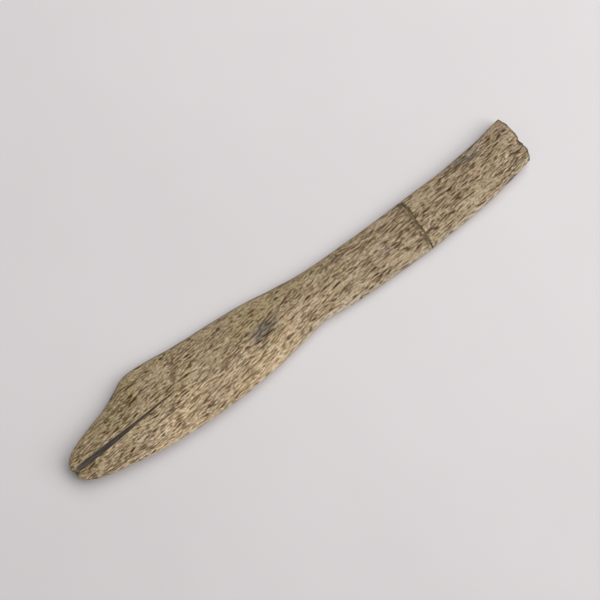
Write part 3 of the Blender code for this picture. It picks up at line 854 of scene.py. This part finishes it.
def clean_bone(m, grain, bent, mottle, fibre, hair):
    """Tan bone, pinker where it is bleached and lighter towards the lower side, where painted light lightens
    it, ashen along the handle, with patches and fibres.
    """
    olive_tan = m.mix(mottle, (0.550, 0.462, 0.276), (0.592, 0.476, 0.314))
    ash_olive = m.mix(mottle, (0.538, 0.445, 0.290), (0.580, 0.468, 0.322))
    lit_pink_tan = m.mix(mottle, (0.935, 0.755, 0.500), (0.965, 0.790, 0.555))
    lit_ash_tan = m.mix(mottle, (0.655, 0.540, 0.362), (0.695, 0.577, 0.404))
    ashen = m.attribute("ashen")
    # the pale end of this blend is partly painted light on the lower side
    colour = m.mix(m.attribute("pale_and_lit"), m.mix(ashen, olive_tan, ash_olive), m.mix(ashen, lit_pink_tan, lit_ash_tan))
    patch = m.span(m.noise(m.stretch(grain, (0.5, 1.0, 1.0)), 0.42, 3.0), 0.44, 0.66)
    band = m.span(m.noise(m.stretch(bent, (0.17, 1.0, 1.0)), 0.75, 4.0, 0.62), *FIBRE_SPAN)
    grit = m.span(m.noise(m.stretch(bent, (0.5, 1.0, 1.0)), 3.0, 1.0, 0.5), *FIBRE_SPAN)
    colour = m.cover(colour, patch, 0.22, m.stretch(colour, (0.78, 0.76, 0.74)))
    colour = m.cover(colour, band, 0.12, m.stretch(colour, (0.70, 0.67, 0.62)))
    colour = m.vary(colour, fibre, (0.87, 0.82, 0.75), (1.03, 1.05, 1.08))
    colour = m.vary(colour, grit, (0.70, 0.64, 0.55), (1.06, 1.08, 1.12))
    return m.vary(colour, hair, (0.72, 0.66, 0.57), (1.06, 1.09, 1.13))


def bone_material():
    m = Nodes("weathered_bone")
    grain = m.attribute("grain", "Vector")
    bent = bent_grain(m, grain)
    mottle = m.span(m.noise(m.stretch(grain, (0.4, 1.0, 1.0)), 0.13, 3.0), 0.38, 0.62)
    fibre = m.span(m.noise(m.stretch(bent, (0.12, 1.0, 1.0)), 2.7, 3.0, 0.6), *FIBRE_SPAN)
    hair = m.span(m.noise(m.stretch(bent, (0.16, 1.0, 1.0)), 3.5, 1.0, 0.5), *FIBRE_SPAN)

    colour = clean_bone(m, grain, bent, mottle, fibre, hair)
    # pale worn bone and painted highlight along the lower edge, where it turns away from the light
    colour = m.cover(colour, m.attribute("wear_and_highlight"), 0.85, WORN_AND_LIT_BONE)
    # painted shade along the upper edge, and dark lines round the tip and round the flake scars
    colour = m.cover(colour, m.attribute("edge_shade_and_lines"), 0.66, DARK_EDGE_SHADE)
    patchy = m.span(fibre, 0.0, 1.0, 1.0, 0.4)
    for name, share, tint in TINTS:
        colour = m.cover(colour, m.math("MULTIPLY", m.attribute(name), patchy), share, tint)
    pore, fine = m.attribute("pore"), small_pores(m, grain, bent)
    dark_pore = m.mix(mottle, (0.062, 0.028, 0.006), (0.058, 0.026, 0.012))
    colour = m.cover(colour, fine, 0.96, dark_pore)
    colour = m.cover(colour, pore, 0.98, dark_pore)
    colour = m.cover(colour, m.attribute("glue"), 0.86, SMEARED_GLUE)
    # dark spongy bone of the broken faces, darkened further as painted shade for the end's shaded side and the
    # dark line along it
    spongy = m.span(m.cells(grain, 1.6)["Distance"], 0.45, 0.1)
    broken = m.mix(spongy, (0.085, 0.069, 0.042), (0.036, 0.028, 0.017))
    colour = m.mix(m.attribute("broken"), colour, broken)
    # the slit's lining: dark grey, lighter with the fibres
    slit_grey = m.mix(fibre, (0.076, 0.067, 0.061), (0.150, 0.127, 0.107))
    colour = m.mix(m.attribute("slit"), colour, slit_grey)
    m.link(colour, m.shader.inputs["Base Color"])

    any_pore = m.math("MAXIMUM", pore, fine)
    rough = m.math("ADD", m.span(fibre, 0.0, 1.0, 0.50, 0.66), m.math("MULTIPLY", any_pore, 0.22))
    m.link(rough, m.shader.inputs["Roughness"])
    m.link(m.span(any_pore, 0.0, 1.0, 0.38, 0.08), m.shader.inputs["Specular IOR Level"])
    height = m.math("SUBTRACT", m.math("MULTIPLY", fibre, 0.6), m.math("MULTIPLY", fine, 1.2))
    height = m.math("ADD", height, m.math("MULTIPLY", hair, 0.25))
    m.link(m.bump(height, 0.7, 0.00014), m.shader.inputs["Normal"])
    return m.material


def glue_material():
    m = Nodes("old_brown_glue")
    grain = m.attribute("grain", "Vector")
    cloud = m.span(m.noise(grain, 0.55, 4.0), 0.35, 0.65)
    grit = m.span(m.noise(grain, 3.2, 3.0), 0.35, 0.7)
    colour = m.mix(cloud, (0.115, 0.082, 0.040), (0.225, 0.166, 0.088))
    colour = m.cover(colour, grit, 0.4, (0.07, 0.05, 0.03))
    m.link(colour, m.shader.inputs["Base Color"])
    m.link(m.span(grit, 0.0, 1.0, 0.55, 0.75), m.shader.inputs["Roughness"])
    m.shader.inputs["Specular IOR Level"].default_value = 0.2
    m.link(m.bump(grit, 0.5, 0.00005), m.shader.inputs["Normal"])
    return m.material


def table_material():
    m = Nodes("pale_table")
    where = m.add("ShaderNodeTexCoord").outputs["Object"]
    cloud = m.span(m.noise(where, 9.0, 4.0), 0.3, 0.7)
    m.link(m.mix(cloud, (0.75, 0.728, 0.733), (0.775, 0.757, 0.762)), m.shader.inputs["Base Color"])
    m.shader.inputs["Roughness"].default_value = 0.9
    m.shader.inputs["Specular IOR Level"].default_value = 0.1
    return m.material


# ---------------------------------------------------------------- the scene
PICTURE_TURN = -34.5  # the picture's right, counted from the tool's own axis in degrees
CAMERA_PLACE = (0.00196, 0.00183, 0.3798)
LENS = 70
LIGHT_DISTANCE = 1.2
LIGHT_COLOUR = (1.0, 0.985, 0.985)
LIGHTS = (("key", 62, 56, 1.0, 10.0), ("side", 3, 42, 0.85, 6.9))  # name, bearing, height, size, power
WORLD_COLOUR, WORLD_STRENGTH = (1.0, 0.99, 1.0, 1.0), 0.155
TABLE_SIZE, TABLE_GAP = 3.0, 0.00003


def add_camera():
    data = bpy.data.cameras.new("camera")
    data.lens = LENS
    data.clip_start = 0.01
    camera = bpy.data.objects.new("camera", data)
    camera.location = CAMERA_PLACE
    camera.rotation_euler = (0, 0, math.radians(PICTURE_TURN))
    bpy.context.scene.collection.objects.link(camera)
    bpy.context.scene.camera = camera


def add_area(name, bearing, height, size, power):
    """A square light aimed at the tool. The bearing is counted from the picture's right towards its
    top, and the height is the angle above the table."""
    turn = math.radians(bearing + PICTURE_TURN)
    rise = math.radians(height)
    x, y, z = math.cos(turn) * math.cos(rise), math.sin(turn) * math.cos(rise), math.sin(rise)
    data = bpy.data.lights.new(name, "AREA")
    data.size = size
    data.energy = power
    data.color = LIGHT_COLOUR
    light = bpy.data.objects.new(name, data)
    light.location = (x * LIGHT_DISTANCE, y * LIGHT_DISTANCE, z * LIGHT_DISTANCE)
    light.rotation_euler = (0, math.pi / 2 - rise, turn)
    bpy.context.scene.collection.objects.link(light)


def add_world():
    world = bpy.data.worlds.new("studio")
    world.use_nodes = True
    back = world.node_tree.nodes["Background"]
    back.inputs["Color"].default_value = WORLD_COLOUR
    back.inputs["Strength"].default_value = WORLD_STRENGTH
    bpy.context.scene.world = world


def add_table():
    """The table's top, a hair below the tool so that the two faces don't coincide."""
    bpy.ops.mesh.primitive_plane_add(size=TABLE_SIZE, location=(0, 0, cad_box[0][2] - TABLE_GAP))
    table = bpy.context.object
    table.name = "table"
    table.data.materials.append(table_material())


def main():
    rng = np.random.default_rng(SEED)
    bone, glue = bone_material(), glue_material()
    blade, butt, line = make_blade(rng), make_butt(rng), make_glue()
    pieces = (
        (blade, "blade_and_shaft", "bone", bone),
        (butt, "butt_end", "bone", bone),
        (line, "glue_film", "old_glue", glue),
    )
    for piece, node, slot, material in pieces:
        piece.data.materials.append(material)
        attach(piece, "root")
        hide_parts(node)
    add_table()
    add_world()
    for light in LIGHTS:
        add_area(*light)
    add_camera()
    bpy.context.scene.view_settings.view_transform = "Standard"


main()
